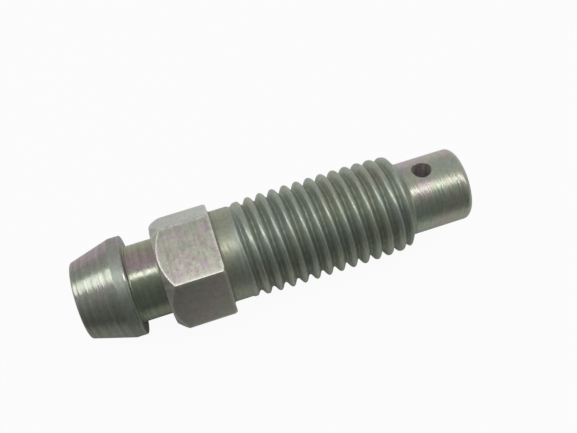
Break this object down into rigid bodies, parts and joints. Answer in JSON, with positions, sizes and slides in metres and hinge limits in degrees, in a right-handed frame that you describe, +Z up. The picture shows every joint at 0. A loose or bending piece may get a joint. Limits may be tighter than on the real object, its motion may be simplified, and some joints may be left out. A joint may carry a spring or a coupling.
{
  "type": "bleeder screw",
  "caption": "Hollow bleeder screw with a barbed hose nipple, a hexagon for a spanner, a rolled outer thread and a plain dog point with a cross hole.",
  "frame": {"origin": "on the screw's axis, where the plain shank ends and the thread begins", "axes": "+X along the axis towards the dog point's tip, +Z up through a flat of the hexagon, so the screw lies on the opposite flat, +Y through a corner of the hexagon"},
  "size_m": [0.0386, 0.0116, 0.01],
  "materials": {
    "zinc_plated_steel": "satin zinc plating, passivated to olive grey with faint rose and yellow tints, fine turning marks"
  },
  "bodies": {
    "root": {"bleeder_screw": "zinc_plated_steel"}
  },
  "joints": []
}
